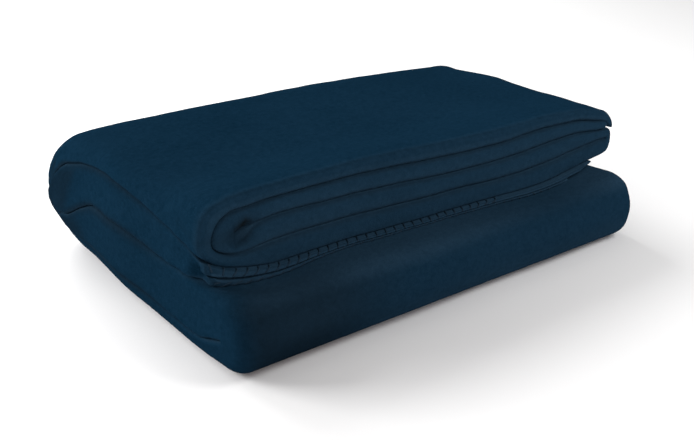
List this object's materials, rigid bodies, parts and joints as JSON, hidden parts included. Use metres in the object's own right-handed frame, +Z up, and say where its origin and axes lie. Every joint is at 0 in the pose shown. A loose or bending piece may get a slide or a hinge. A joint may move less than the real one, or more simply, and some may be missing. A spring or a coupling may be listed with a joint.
{
  "type": "folded fleece blanket",
  "caption": "Plain navy fleece blanket folded along its length and its width into a thick flat stack with a rounded front fold.",
  "frame": {"origin": "under the middle of the folded stack, on the surface it lies on", "axes": "+Z up, X along the folded length, -Y the front where the free edges show"},
  "size_m": [0.4156, 0.3026, 0.1159],
  "materials": {
    "fleece": "matt brushed polar fleece, dark navy"
  },
  "bodies": {
    "root": {"blanket": "fleece"}
  },
  "joints": []
}
